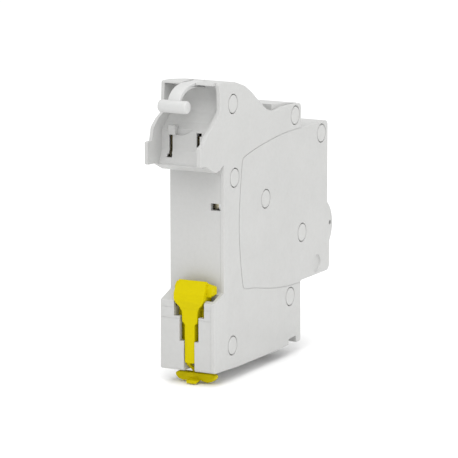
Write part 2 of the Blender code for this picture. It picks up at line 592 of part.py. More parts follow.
# ---- trip lever --------------------------------------------------------------
trip = slab("trip_lever",
            [rounded([(TRIP[0] - 1.9, TRIP[1] - 0.8, 0.6), (TRIP[0] - 0.2, TRIP[1] - 2.0, 0.8),
                      (TRIP[0] + 2.0, TRIP[1] - 1.4, 0.6), (-16.0, 8.4), (-13.4, 9.2), (-13.4, 14.4),
                      (-14.6, 14.4), (-14.6, 10.6), (-32.5, 11.0, 0.6), (-33.6, 14.0), (-33.6, 24.4),
                      (-35.0, 24.4), (-35.2, 14.0)], 3)], -0.7, 0.9, "X", NYLON)
paddle = block("add_paddle", (-4.2, 0.5), (-34.9, -33.7), (19.6, 24.3))
finger = block("add_finger", (-3.8, 0.5), (-14.5, -13.5), (11.6, 14.3))
trip_bore = rod("cut_trip_bore", "X", TRIP, 0.95, -12.0, 12.0, seg=16)
join(trip, paddle, finger)
cut(trip, trip_bore)
rod("trip_lever_pin", "X", TRIP, 0.75, -7.2, 1.2, STEEL, 14)

# ---- thermal release ---------------------------------------------------------
slab("bimetal_strip", [[(-12.2, -8.0), (-11.3, -8.0), (-11.3, 14.6), (-12.2, 14.6)]], -5.2, -1.2, "X", BIMETAL)
bracket = slab("bimetal_bracket",
               [strip([(-10.4, -8.0), (-10.4, -0.5), (-6.6, 1.0), (-4.4, 1.0), (-4.4, 8.6)], 1.2)],
               -7.2, -3.0, "X", STEEL)
tab = block("add_tab", (-6.9, -6.3), (-4.4, -1.9), (2.4, 7.4))
bracket_hole = rod("cut_bracket_hole", "Y", (4.7, -5.0), 0.95, -12.0, -2.0, seg=14)
join(bracket, tab)
cut(bracket, bracket_hole)
turned("calibration_screw", "Y", (4.7, -5.0),
       [(0.0, -10.6), (0.7, -10.4), (0.7, -3.6), (1.2, -3.6), (1.2, -2.4), (0.0, -2.4)], BRASS, 14)

# ---- pole divider ------------------------------------------------------------
divider_outline = [(-2.6, 17.6), (-2.6, 30.4), (-8.9, 30.9), (-8.9, 37.6), (-14.8, 35.2),
                   (-20.0, 32.0), (-25.0, 27.9), (-29.0, 26.4), (-42.4, 26.2), (-42.4, 22.6),
                   (-46.8, 22.6), (-46.8, -40.2), (-40.2, -40.2), (-39.6, -41.9), (-2.4, -41.6)]
divider_holes = [circle(y, z, POST_R + 0.35, 16) for y, z in RIVETS
                 if (y, z) in (RIVETS[2], RIVETS[3], RIVETS[6], RIVETS[7])]
divider_holes += [circle(*CAR, 2.9, 20)]
slab("pole_divider", [divider_outline] + divider_holes, DIV[0], DIV[1], "X", FIBRE)

# ---- arc chamber -------------------------------------------------------------
PLATES = 6
for k in range(PLATES):
    z = -13.4 - 2.4 * k
    slab(f"arc_plate_{k + 1}",
         [[(-6.2, -30.0), (-4.6, -30.0), (-3.1, -24.5), (-1.6, -30.0), (0.2, -30.0), (0.2, -14.6),
           (-6.2, -14.6)]], z - 0.4, z + 0.4, "Z", STEEL)
for name, x in (("left", -6.75), ("right", 0.75)):
    slab(f"arc_sheet_{name}", [[(-31.0, -12.4), (-14.0, -12.4), (-14.0, -28.2), (-31.0, -28.2)]],
         x - 0.2, x + 0.2, "X", FIBRE)
slab("lower_arc_runner", [strip([(-38.4, -16.0), (-37.6, -22.5), (-33.5, -28.9), (-15.0, -28.9)], 0.8)],
     -5.4, -0.8, "X", STEEL)

# ---- load terminals ----------------------------------------------------------
slab("phase_load_strap", [strip([(-38.9, -39.4), (-38.9, -30.9), (-10.2, -30.9), (-10.2, -9.4)], 1.0)],
     -6.3, -2.3, "X", COPPER)
slab("neutral_load_strap", [strip([(-38.9, -39.4), (-38.9, -30.9), (-31.0, -30.9)], 1.0)],
     3.7, 6.3, "X", COPPER)
for name, x, half in (("phase", TERM_X[0], 2.9), ("neutral", TERM_X[1], 2.3)):
    cage = slab(f"{name}_terminal_cage",
                [[(x - half, -42.0), (x + half, -42.0), (x + half, -31.6), (x - half, -31.6)],
                 [(x - half + 0.6, -40.9), (x + half - 0.6, -40.9), (x + half - 0.6, -32.7), (x - half + 0.6, -32.7)]],
                -39.9, -32.0, "Z", STEEL)
    cage_bore = rod(f"cut_cage_{name}", "Y", (TERM_Z, x), 1.75, -50.0, -39.5, seg=18)
    cut(cage, cage_bore)
    screw = turned(f"{name}_terminal_screw", "Y", (TERM_Z, x),
                   [(0.0, -47.3), (2.0, -47.3), (2.3, -47.0), (2.3, -45.9), (1.5, -45.9),
                    (1.5, -40.0), (1.2, -39.7), (0.0, -39.7)], STEEL, 20)
    drive = block(f"cut_drive_{name}", (x - 3.0, x + 3.0), (-48.0, -46.5), (TERM_Z - 0.4, TERM_Z + 0.4))
    cross = block(f"cut_cross_{name}", (x - 0.4, x + 0.4), (-48.0, -46.4), (TERM_Z - 1.6, TERM_Z + 1.6))
    cut(screw, drive, cross)

# ---- braids ------------------------------------------------------------------
wire("phase_braid", spline_points([(-6.2, -42.6, 9.0), (-6.3, -42.0, 13.6), (-6.3, -37.0, 16.2),
                                   (-6.3, -22.0, 16.3), (-6.2, -13.0, 16.6), (-5.2, -10.4, 15.6),
                                   (-4.0, -10.2, 12.6)], 4), 0.6, COPPER, 1)
wire("neutral_braid", spline_points([(5.0, -44.6, 7.2), (5.0, -46.2, 2.0), (5.0, -46.2, -12.0),
                                     (5.0, -45.4, -21.0), (5.0, -41.0, -25.6), (5.0, -37.0, -26.6),
                                     (5.0, -36.0, -29.6)], 4), 0.6, COPPER, 1)

# ---- position flag -----------------------------------------------------------
FLAG_AX = (-60.4, 6.5)
flag = slab("position_flag", [arc(*FLAG_AX, 4.9, 145, 250, 10) + arc(*FLAG_AX, 1.5, 250, 505, 10)],
            -2.2, 2.2, "X", FLAG)
flag_bore = rod("cut_flag_bore", "X", FLAG_AX, 0.8, -12.0, 12.0, seg=14)
cut(flag, flag_bore)
flag_pin = rod("add_flag_pin", "X", FLAG_AX, 0.55, -6.8, XR - 0.6, seg=12)
join(base, flag_pin)

# ---- comb latch lever --------------------------------------------------------
latch_path = [(LATCH_AX[0], LATCH_AX[1] + 0.1), (2.4, 40.55), (5.4, 40.6), (8.0, 40.35), (10.3, 39.7),
              (12.1, 38.6), (13.2, 37.2), TBAR]
latch = slab("comb_latch_lever", [strip(latch_path, 1.4)], LATCH_X[0], LATCH_X[1], "X", HOUSING)
tbar = rod("add_tbar", "X", TBAR, TBAR_R, -4.8, 4.4, seg=24)
barrel = rod("add_barrel", "X", LATCH_AX, 0.85, LATCH_X[0], LATCH_X[1], seg=16)
latch_bore = rod("cut_latch_bore", "X", LATCH_AX, 0.5, -12.0, 12.0, seg=14)
join(latch, tbar, barrel)
cut(latch, latch_bore)
latch_pin = rod("add_latch_pin", "X", LATCH_AX, 0.4, LATCH_X[0] - 1.5, LATCH_X[1] + 1.5, seg=12)
join(base, latch_pin)

# ---- rail clip ---------------------------------------------------------------
def clip_outline(points):
    """(X offset, Z) half outline, mirrored about the clip's centre, as (Z, X) pairs."""
    right = [(z, CLIP_X + x) for x, z in points]
    left = [(z, CLIP_X - x) for x, z in reversed(points)]
    return right + left


clip = slab("rail_clip", [clip_outline([(4.3, -20.0), (4.3, -23.0), (3.3, -24.2), (2.65, -25.6), (2.6, -28.9),
                                        (1.5, -29.7), (1.5, -41.6)])], 3.4, 5.0, "Y", CLIP)
head = slab("add_clip_head", [[(1.3, -18.4), (3.7, -16.6), (6.3, -20.6), (6.35, -22.6), (5.7, -24.4),
                               (4.9, -26.4), (1.3, -26.4)]], CLIP_X - 6.0, CLIP_X + 6.0)
head_shape = slab("keep_clip_head", [clip_outline([(4.2, -15.0), (4.25, -16.8), (4.8, -19.4), (4.85, -22.0),
                                                   (4.4, -23.3), (3.3, -24.3), (2.7, -25.6), (2.5, -27.0)])],
                  -2.0, 9.0, "Y")
keep(head, head_shape)
wings = slab("add_clip_wings", [[(1.3, -18.4), (2.9, -17.4), (4.3, -18.6), (4.3, -21.4), (1.3, -21.4)]],
             CLIP_X - 6.7, CLIP_X + 5.6)
wing_shape = slab("keep_clip_wings", [[(-17.0, CLIP_X - 4.0), (-17.0, CLIP_X + 6.5), (-21.9, CLIP_X + 6.5),
                                       (-21.9, CLIP_X - 5.4), (-20.4, CLIP_X - 6.9), (-18.6, CLIP_X - 6.9)]],
                  -2.0, 9.0, "Y")
keep(wings, wing_shape)
web = slab("add_clip_web", [strip([(4.4, -40.6), (4.2, -42.0), (-0.2, -44.3), (0.3, -45.6)], 0.8)],
           CLIP_X - 0.6, CLIP_X + 1.5)
foot = slab("add_clip_foot", [clip_outline([(0.6, -44.6), (5.2, -44.5), (6.5, -44.9), (6.6, -45.8),
                                            (5.6, -46.8), (4.0, -47.25), (2.4, -47.0), (1.0, -46.5)])],
            -0.4, 1.9, "Y")
tongue = slab("add_clip_tongue", [strip([(0.4, -45.8), (2.2, -46.6), (4.0, -46.95)], 0.9)],
              CLIP_X - 1.7, CLIP_X + 1.7)
plate = block("add_clip_plate", (CLIP_X - 4.7, CLIP_X + 4.7), (2.5, 4.1), (-35.4, -20.5))
join(clip, plate, head, wings, web, foot, tongue)
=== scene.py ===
import json
import math

import bmesh
import bpy
from mathutils import Matrix, Vector

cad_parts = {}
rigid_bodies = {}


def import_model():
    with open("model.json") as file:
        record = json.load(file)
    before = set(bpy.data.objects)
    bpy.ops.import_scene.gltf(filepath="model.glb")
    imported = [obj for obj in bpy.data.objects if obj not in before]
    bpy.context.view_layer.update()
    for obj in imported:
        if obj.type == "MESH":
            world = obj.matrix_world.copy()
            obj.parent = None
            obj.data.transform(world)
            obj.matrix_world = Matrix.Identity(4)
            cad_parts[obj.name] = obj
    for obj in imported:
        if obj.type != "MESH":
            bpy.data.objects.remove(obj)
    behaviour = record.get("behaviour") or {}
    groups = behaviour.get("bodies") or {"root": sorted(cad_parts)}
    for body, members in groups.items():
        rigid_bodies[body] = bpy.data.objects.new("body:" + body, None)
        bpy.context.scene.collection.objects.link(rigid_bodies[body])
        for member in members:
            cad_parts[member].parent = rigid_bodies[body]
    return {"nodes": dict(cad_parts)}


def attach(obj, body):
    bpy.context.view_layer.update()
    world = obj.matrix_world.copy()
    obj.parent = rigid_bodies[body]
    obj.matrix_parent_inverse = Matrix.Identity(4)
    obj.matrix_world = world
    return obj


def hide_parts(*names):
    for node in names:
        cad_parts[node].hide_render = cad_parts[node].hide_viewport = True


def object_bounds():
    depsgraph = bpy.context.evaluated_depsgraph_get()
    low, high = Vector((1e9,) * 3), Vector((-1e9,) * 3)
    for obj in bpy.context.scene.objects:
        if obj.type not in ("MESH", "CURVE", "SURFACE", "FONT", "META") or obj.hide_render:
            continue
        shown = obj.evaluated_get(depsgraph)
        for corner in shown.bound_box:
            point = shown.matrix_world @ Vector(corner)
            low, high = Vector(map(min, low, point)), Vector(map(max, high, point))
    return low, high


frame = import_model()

cad_low, cad_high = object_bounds()
NODES = frame["nodes"]
SCENE = bpy.context.scene

# Everything below is written in millimetres in the CAD frame and made in metres.
MM = 0.001

# ---- sizes shared with the CAD frame ------------------------------------------
XL, XR = -9.0, 9.0
COVER_T, GAP, WALL = 1.2, 0.25, 1.5
XC = XL + COVER_T
XB = XC + GAP
REAR_BLOCK_Y, FRONT_Y, NOSE_Y, CHIN_Y = 6.0, -49.15, -67.2, -68.7
TOP_Z, BOTTOM_Z, SHOULDER_Z = 41.4, -44.3, 28.5
NOSE_TOP_Z, NOSE_BOT_Z = 21.3, -25.6
STEP, SEAT_TOP_Z, SEAT_BOT_Z = 0.3, 15.0, -15.4
TOG, DRUM_R, CHEEK_R, TOG_HALF, LEVER_OUT, OFF_ANGLE, CRANK_R = (-62.1, -11.1), 8.0, 8.6, 5.0, 13.9, 39.0, 3.2
RIVETS = [(-5.7, 34.3), (-45.4, 25.6), (-6.7, 12.5), (-26.3, 3.2),
          (-50.1, -10.9), (-63.0, 17.7), (-42.3, -29.3), (-5.3, -37.1)]
PLUG_R, POST_R = 2.65, 2.2
TERM_X, TERM_Z = (-4.3, 5.0), -36.0
CLIP_X = -0.6
LATCH_AX, LATCH_X, TBAR, TBAR_R = (-0.9, 40.3), (-2.15, 1.75), (13.4, 35.4), 1.85
FLAG_AX = (-60.4, 6.5)
DIV = (1.5, 2.5)

AXES = {
    "X": Matrix(((0, 0, 1), (1, 0, 0), (0, 1, 0))),
    "Y": Matrix(((0, 1, 0), (0, 0, 1), (1, 0, 0))),
    "Z": Matrix.Identity(3),
}

WORK = bpy.data.collections.new("work")
SCENE.collection.children.link(WORK)
LOOKS = bpy.data.collections.new("looks")
SCENE.collection.children.link(LOOKS)


# ---- procedural materials -------------------------------------------------------
class Nodes:
    """A material's node tree with short calls for the nodes used here."""

    def __init__(self, name):
        self.mat = bpy.data.materials.new(name)
        self.mat.use_nodes = True
        self.tree = self.mat.node_tree
        self.shader = self.tree.nodes["Principled BSDF"]
        self.coord = self.tree.nodes.new("ShaderNodeTexCoord").outputs["Object"]

    def link(self, a, b):
        self.tree.links.new(a, b)

    def scaled(self, x, y, z):
        node = self.tree.nodes.new("ShaderNodeMapping")
        node.inputs["Scale"].default_value = (x, y, z)
        self.link(self.coord, node.inputs["Vector"])
        return node.outputs["Vector"]

    def noise(self, scale, detail=3.0, rough=0.55, vector=None, distort=0.0):
        node = self.tree.nodes.new("ShaderNodeTexNoise")
        node.inputs["Scale"].default_value = scale
        node.inputs["Detail"].default_value = detail
        node.inputs["Roughness"].default_value = rough
        node.inputs["Distortion"].default_value = distort
        self.link(vector or self.coord, node.inputs["Vector"])
        return node.outputs["Fac"]

    def voronoi(self, scale, feature="F1", vector=None):
        node = self.tree.nodes.new("ShaderNodeTexVoronoi")
        node.feature = feature
        node.inputs["Scale"].default_value = scale
        self.link(vector or self.coord, node.inputs["Vector"])
        return node.outputs["Distance"]

    def span(self, fac, low, high, a=0.3, b=0.7):
        """fac between a and b to a number between low and high"""
        node = self.tree.nodes.new("ShaderNodeMapRange")
        node.inputs["From Min"].default_value = a
        node.inputs["From Max"].default_value = b
        node.inputs["To Min"].default_value = low
        node.inputs["To Max"].default_value = high
        self.link(fac, node.inputs["Value"])
        return node.outputs["Result"]

    def ramp(self, fac, stops):
        node = self.tree.nodes.new("ShaderNodeValToRGB")
        ramp = node.color_ramp
        while len(ramp.elements) < len(stops):
            ramp.elements.new(0.5)
        for element, (place, colour) in zip(ramp.elements, stops):
            element.position = place
            element.color = (*colour, 1.0)
        self.link(fac, node.inputs["Fac"])
        return node.outputs["Color"]

    def mix(self, fac, a, b, mode="MIX"):
        node = self.tree.nodes.new("ShaderNodeMix")
        node.data_type = "RGBA"
        node.blend_type = mode
        if isinstance(fac, float):
            node.inputs["Factor"].default_value = fac
        else:
            self.link(fac, node.inputs["Factor"])
        for value, slot in ((a, "A"), (b, "B")):
            socket = [s for s in node.inputs if s.name == slot and s.type == "RGBA"][0]
            if isinstance(value, tuple):
                socket.default_value = (*value, 1.0)
            else:
                self.link(value, socket)
        return [s for s in node.outputs if s.type == "RGBA"][0]

    def bump(self, height, strength, distance, normal=None):
        node = self.tree.nodes.new("ShaderNodeBump")
        node.inputs["Strength"].default_value = strength
        node.inputs["Distance"].default_value = distance
        self.link(height, node.inputs["Height"])
        if normal is not None:
            self.link(normal, node.inputs["Normal"])
        return node.outputs["Normal"]


def tint(colour, k):
    return tuple(min(1.0, c * k) for c in colour)


def plastic(name, colour, rough, grain=1.0, coat=0.0, spec=0.5):
    """Injection-moulded plastic: slow tone drift, spark-eroded grain, faint flow marks."""
    n = Nodes(name)
    drift = n.noise(55.0, 2.0, 0.5)
    fine = n.noise(900.0, 3.0, 0.6)
    base = n.ramp(drift, [(0.3, tint(colour, 0.975)), (0.52, colour), (0.72, tint(colour, 1.018))])
    speck = n.ramp(fine, [(0.30, (0.965, 0.965, 0.962)), (0.62, (1.0, 1.0, 1.0))])
    n.link(n.mix(1.0, base, speck, "MULTIPLY"), n.shader.inputs["Base Color"])
    n.link(n.span(n.noise(260.0, 4.0, 0.6), rough - 0.07, rough + 0.07), n.shader.inputs["Roughness"])
    pits = n.voronoi(5200.0)
    swirl = n.noise(3100.0, 4.0, 0.65)
    first = n.bump(pits, 0.10 * grain, 0.00003)
    second = n.bump(swirl, 0.12 * grain, 0.00004, first)
    wave = n.bump(n.noise(90.0, 1.0, 0.4), 0.05 * grain, 0.0001, second)
    n.link(wave, n.shader.inputs["Normal"])
    n.shader.inputs["Specular IOR Level"].default_value = spec
    n.shader.inputs["Coat Weight"].default_value = coat
    n.shader.inputs["Coat Roughness"].default_value = 0.25
    return n.mat


def metal(name, colour, dull, rough, stretch=(1.0, 1.0, 14.0), wear=0.5):
    """Rolled or plated metal: drawn lines along one way, duller patches, fine pitting."""
    n = Nodes(name)
    patch = n.noise(170.0, 5.0, 0.6, distort=0.4)
    lines = n.noise(420.0, 4.0, 0.7, vector=n.scaled(*stretch))
    pit = n.voronoi(2600.0)
    base = n.ramp(patch, [(0.30, dull), (0.45 + 0.1 * wear, tint(colour, 0.93)), (0.70, colour)])
    streak = n.ramp(lines, [(0.28, (0.86, 0.86, 0.86)), (0.62, (1.0, 1.0, 1.0))])
    n.link(n.mix(0.85, base, streak, "MULTIPLY"), n.shader.inputs["Base Color"])
    n.link(n.span(patch, rough + 0.16, rough - 0.03), n.shader.inputs["Roughness"])
    n.shader.inputs["Metallic"].default_value = 1.0
    first = n.bump(lines, 0.18, 0.00002)
    n.link(n.bump(pit, 0.08, 0.00002, first), n.shader.inputs["Normal"])
    return n.mat


def fibre(name, colour):
    """Pressed insulating board: long felted fibres and a calendered sheen."""
    n = Nodes(name)
    strands = n.noise(700.0, 6.0, 0.75, vector=n.scaled(1.0, 0.25, 1.6), distort=1.2)
    cloud = n.noise(120.0, 3.0, 0.5)
    base = n.ramp(strands, [(0.30, tint(colour, 0.62)), (0.50, colour), (0.72, tint(colour, 1.35))])
    n.link(n.mix(0.5, base, n.ramp(cloud, [(0.3, tint(colour, 0.85)), (0.7, tint(colour, 1.1))])),
           n.shader.inputs["Base Color"])
    n.link(n.span(cloud, 0.62, 0.82), n.shader.inputs["Roughness"])
    n.link(n.bump(strands, 0.35, 0.00004), n.shader.inputs["Normal"])
    return n.mat


def floor_finish(name, colour):
    n = Nodes(name)
    cloud = n.noise(3.0, 2.0, 0.5)
    n.link(n.ramp(cloud, [(0.3, tint(colour, 0.997)), (0.7, colour)]), n.shader.inputs["Base Color"])
    n.link(n.span(cloud, 0.88, 0.95), n.shader.inputs["Roughness"])
    n.shader.inputs["Specular IOR Level"].default_value = 0.1
    return n.mat


HOUSING = plastic("moulded_grey_housing", (0.462, 0.463, 0.456), 0.5)
COVER = plastic("moulded_grey_cover", (0.464, 0.465, 0.457), 0.5)
PLUG = plastic("moulded_grey_plug", (0.470, 0.471, 0.462), 0.45, 0.7)
LATCH = plastic("moulded_grey_lever", (0.505, 0.507, 0.502), 0.45, 0.6)
CLIP = plastic("moulded_yellow_clip", (0.53, 0.445, 0.0), 0.55, 0.6, 0.0, 0.06)
TOGGLE = plastic("moulded_black_toggle", (0.018, 0.018, 0.020), 0.36, 1.2)
NYLON = plastic("moulded_nylon", (0.055, 0.056, 0.062), 0.45, 1.4)
FLAG = plastic("moulded_green_flag", (0.02, 0.26, 0.05), 0.42, 0.8)
STEEL = metal("zinc_plated_steel", (0.70, 0.71, 0.72), (0.46, 0.47, 0.49), 0.28)
SCREW = metal("plated_screw_steel", (0.74, 0.74, 0.73), (0.50, 0.50, 0.51), 0.24, (9.0, 1.0, 1.0))
COPPER = metal("rolled_copper", (0.86, 0.46, 0.28), (0.48, 0.24, 0.15), 0.26, (1.0, 8.0, 1.0))
BRASS = metal("tinned_brass_spring", (0.80, 0.74, 0.55), (0.52, 0.46, 0.30), 0.27, (1.0, 9.0, 1.0))
SILVER = metal("silver_contact_face", (0.90, 0.89, 0.86), (0.62, 0.60, 0.56), 0.22, (3.0, 3.0, 3.0))
ENAMEL = metal("enamelled_winding", (0.62, 0.20, 0.06), (0.40, 0.11, 0.03), 0.2, (2.0, 2.0, 2.0))
BIMETAL = metal("rolled_bimetal", (0.62, 0.58, 0.52), (0.40, 0.36, 0.31), 0.3, (12.0, 12.0, 1.0))
FIBRE = fibre("pressed_fibre_board", (0.34, 0.13, 0.05))

# ---- mesh helpers ---------------------------------------------------------------


def smooth(mesh, angle=35.0):
    mesh.shade_smooth()
    mesh.set_sharp_from_angle(angle=math.radians(angle))


def new_object(name, mesh, mat=None):
    obj = bpy.data.objects.new(name, mesh)
    (LOOKS if mat else WORK).objects.link(obj)
    if mat:
        mesh.materials.clear()
        mesh.materials.append(mat)
    return obj


def curve_mesh(name, curve, matrix, mat=None, angle=35.0):
    guide = bpy.data.objects.new(name + "_guide", curve)
    WORK.objects.link(guide)
    guide.matrix_world = matrix
    bpy.context.view_layer.update()
    graph = bpy.context.evaluated_depsgraph_get()
    mesh = bpy.data.meshes.new_from_object(guide.evaluated_get(graph))
    mesh.transform(matrix)
    bpy.data.objects.remove(guide, do_unlink=True)
    bpy.data.curves.remove(curve)
    work = bmesh.new()
    work.from_mesh(mesh)
    bmesh.ops.remove_doubles(work, verts=work.verts, dist=0.000002)
    bmesh.ops.recalc_face_normals(work, faces=work.faces)
    work.to_mesh(mesh)
    work.free()
    mesh.name = name
    smooth(mesh, angle)
    return new_object(name, mesh, mat)


def rounded(points, seg=6):
    """Corner list (u, v[, radius]) to a point list with arcs at the corners."""
    out = []
    n = len(points)
    for i, item in enumerate(points):
        p = Vector(item[:2])
        r = item[2] if len(item) > 2 else 0.0
        if r <= 0:
            out.append((p.x, p.y))
            continue
        a = Vector(points[i - 1][:2]) - p
        b = Vector(points[(i + 1) % n][:2]) - p
        half = a.angle(b) / 2
        cut = min(r / math.tan(half), a.length * 0.48, b.length * 0.48)
        r = cut * math.tan(half)
        a.normalize()
        b.normalize()
        centre = p + (a + b).normalized() * (r / math.sin(half))
        start, end = p + a * cut - centre, p + b * cut - centre
        turn = start.angle_signed(end)
        for k in range(seg + 1):
            t = -turn * k / seg
            out.append((centre.x + start.x * math.cos(t) - start.y * math.sin(t),
                        centre.y + start.x * math.sin(t) + start.y * math.cos(t)))
    return out


def circle(u, v, r, seg=48, start=0.0):
    return [(u + r * math.cos(start + 2 * math.pi * k / seg),
             v + r * math.sin(start + 2 * math.pi * k / seg)) for k in range(seg)]


def arc(u, v, r, a0, a1, seg):
    return [(u + r * math.cos(math.radians(a0 + (a1 - a0) * k / seg)),
             v + r * math.sin(math.radians(a0 + (a1 - a0) * k / seg))) for k in range(seg + 1)]


def polar(axis, r, degrees):
    return (axis[0] + r * math.cos(math.radians(degrees)),
            axis[1] + r * math.sin(math.radians(degrees)))


def slab(name, loops, lo, hi, axis="X", mat=None, edge=0.0, steps=3):
    """Flat outline with holes, extruded from lo to hi, with its rims rounded by edge."""
    curve = bpy.data.curves.new(name, "CURVE")
    curve.dimensions = "2D"
    curve.fill_mode = "BOTH"
    curve.extrude = (abs(hi - lo) / 2 - edge) * MM
    if edge:
        curve.bevel_depth = edge * MM
        curve.bevel_resolution = steps
        curve.offset = -edge * MM
    for loop in loops:
        spline = curve.splines.new("POLY")
        spline.points.add(len(loop) - 1)
        for point, (u, v) in zip(spline.points, loop):
            point.co = (u * MM, v * MM, 0, 1)
        spline.use_cyclic_u = True
    move = Matrix.Translation(AXES[axis] @ Vector((0, 0, (lo + hi) / 2 * MM)))
    return curve_mesh(name, curve, move @ AXES[axis].to_4x4(), mat)


def block(name, x, y, z, mat=None):
    mesh = bpy.data.meshes.new(name)
    work = bmesh.new()
    size = Vector((x[1] - x[0], y[1] - y[0], z[1] - z[0])) * MM
    mid = Vector((x[0] + x[1], y[0] + y[1], z[0] + z[1])) / 2 * MM
    bmesh.ops.create_cube(work, size=1.0,
                          matrix=Matrix.Translation(mid) @ Matrix.Diagonal((*size, 1.0)))
    work.to_mesh(mesh)
    work.free()
    return new_object(name, mesh, mat)


def rod(name, axis, centre, r, lo, hi, mat=None, seg=48, r2=None):
    mesh = bpy.data.meshes.new(name)
    work = bmesh.new()
    place = AXES[axis] @ Vector((centre[0], centre[1], (lo + hi) / 2)) * MM
    bmesh.ops.create_cone(work, cap_ends=True, segments=seg, radius1=r * MM,
                          radius2=(r if r2 is None else r2) * MM, depth=(hi - lo) * MM,
                          matrix=Matrix.Translation(place) @ AXES[axis].to_4x4())
    work.to_mesh(mesh)
    work.free()
    smooth(mesh)
    return new_object(name, mesh, mat)


def turned(name, axis, centre, profile, mat=None, seg=64):
    """A turned solid: (radius, height) pairs from the bottom to the top."""
    mesh = bpy.data.meshes.new(name)
    work = bmesh.new()
    closed = profile[0] == profile[-1]
    verts = [work.verts.new((r * MM, 0, h * MM)) for r, h in reversed(profile[closed:])]
    edges = [work.edges.new((a, b)) for a, b in zip(verts, verts[1:] + verts[:1] * closed)]
    bmesh.ops.spin(work, geom=verts + edges, cent=(0, 0, 0), axis=(0, 0, 1), dvec=(0, 0, 0),
                   angle=2 * math.pi, steps=seg, use_duplicate=False)
    bmesh.ops.remove_doubles(work, verts=work.verts, dist=0.000004)
    bmesh.ops.recalc_face_normals(work, faces=work.faces)
    work.transform(Matrix.Translation(AXES[axis] @ Vector((centre[0], centre[1], 0)) * MM)
                   @ AXES[axis].to_4x4())
    work.to_mesh(mesh)
    work.free()
    smooth(mesh)
    return new_object(name, mesh, mat)


def boolean(obj, others, operation):
    for other in others:
        step = obj.modifiers.new("step", "BOOLEAN")
        step.operation = operation
        step.object = other
    return obj


def cut(obj, *others):
    return boolean(obj, others, "DIFFERENCE")


def join(obj, *others):
    return boolean(obj, others, "UNION")


def keep(obj, other):
    return boolean(obj, [other], "INTERSECT")


def settle(obj, angle=32.0):
    """Applies the modifiers, welds, and merges the flat faces that the cuts split."""
    bpy.context.view_layer.update()
    graph = bpy.context.evaluated_depsgraph_get()
    mesh = bpy.data.meshes.new_from_object(obj.evaluated_get(graph))
    obj.modifiers.clear()
    mats = list(obj.data.materials)
    obj.data = mesh
    work = bmesh.new()
    work.from_mesh(mesh)
    bmesh.ops.remove_doubles(work, verts=work.verts, dist=0.000003)
    bmesh.ops.dissolve_limit(work, angle_limit=math.radians(0.4), verts=work.verts, edges=work.edges)
    bmesh.ops.recalc_face_normals(work, faces=work.faces)
    for face in work.faces:
        face.material_index = 0
    work.to_mesh(mesh)
    work.free()
    if mats:
        mesh.materials.clear()
        mesh.materials.append(mats[0])
    smooth(mesh, angle)
    return obj


def soften(obj, width, segments=2, angle=38.0, clamp=False):
    """Rounds every edge sharper than angle and keeps the flats flat."""
    step = obj.modifiers.new("round", "BEVEL")
    step.width = width * MM
    step.segments = segments
    step.limit_method = "ANGLE"
    step.angle_limit = math.radians(angle)
    step.use_clamp_overlap = clamp
    step.harden_normals = True
    step.miter_outer = "MITER_ARC"
    return obj


def strip(path, thickness):
    """Outline of a bent strip: a centre line given a thickness, mitred at the bends."""
    left, right = [], []
    for i, p in enumerate(path):
        p = Vector(p)
        d1 = (p - Vector(path[i - 1])).normalized() if i else None
        d2 = (Vector(path[i + 1]) - p).normalized() if i + 1 < len(path) else None
        d1 = d1 or d2
        d2 = d2 or d1
        n1, n2 = Vector((-d1.y, d1.x)), Vector((-d2.y, d2.x))
        m = (n1 + n2).normalized()
        m *= thickness / 2 / m.dot(n1)
        left.append(tuple(p + m))
        right.append(tuple(p - m))
    return left + right[::-1]


def spline_points(knots, per_span):
    pts = [Vector(k) for k in knots]
    pts = [pts[0] * 2 - pts[1]] + pts + [pts[-1] * 2 - pts[-2]]
    out = []
    for a, b, c, d in zip(pts, pts[1:], pts[2:], pts[3:]):
        for k in range(per_span):
            t = k / per_span
            out.append(tuple(0.5 * ((2 * b) + (c - a) * t + (2 * a - 5 * b + 4 * c - d) * t * t
                                    + (3 * b - a - 3 * c + d) * t * t * t)))
    out.append(tuple(pts[-2]))
    return out


# ---- side outline ---------------------------------------------------------------
HOOK_LEFT = [(2.3, 38.0, 2.0), (2.2, 33.0, 2.0), (7.2, 28.8, 2.0), (10.2, 27.1, 2.0),
             (12.3, 24.9, 0.8), (14.3, 23.9, 0.5), (14.3, 18.4, 0.5), (10.9, 18.3, 1.0),
             (8.5, 17.1, 1.0), (4.6, 15.5, 0.8), (2.6, 15.9, 0.8)]
HOOK_RIGHT = [(5.1, 36.5, 1.0), (5.4, 32.3, 1.0), (8.5, 30.9, 1.5), (11.3, 28.7, 1.0),
              (12.3, 24.9, 0.4), (14.9, 24.9, 0.5), (14.9, 18.2, 0.5), (10.3, 18.0, 1.0),
              (6.6, 16.3, 0.8), (4.7, 15.5, 0.8), (2.6, 15.9, 0.8)]
LOWER = [(0.0, 17.2), (0.0, -20.6, 0.4),
         (REAR_BLOCK_Y, -22.8, 0.5), (REAR_BLOCK_Y, -43.4, 0.7), (-8.0, -44.1),
         (-30.0, BOTTOM_Z), (-41.3, -44.1), (-41.3, -42.4, 0.4), (-46.0, -42.1, 0.4),
         (-46.6, -44.2), (FRONT_Y, -44.3, 1.0), (FRONT_Y, NOSE_BOT_Z, 0.4),
         (CHIN_Y, NOSE_BOT_Z, 2.0), (CHIN_Y, -16.7)]
CHEEK = arc(TOG[0], TOG[1], CHEEK_R, 219.0, 127.0, 28)
UPPER = [(NOSE_Y, -3.4), (NOSE_Y, NOSE_TOP_Z, 1.5), (FRONT_Y, NOSE_TOP_Z, 0.4),
         (FRONT_Y, SHOULDER_Z, 1.3), (-34.0, 28.3, 2.0), (-29.0, 28.8, 3.0), (-25.6, 30.0, 3.0),
         (-20.6, 34.2, 3.0), (-15.0, 37.7, 4.0), (-9.0, 40.2, 4.0), (0.0, 41.2, 4.0)]


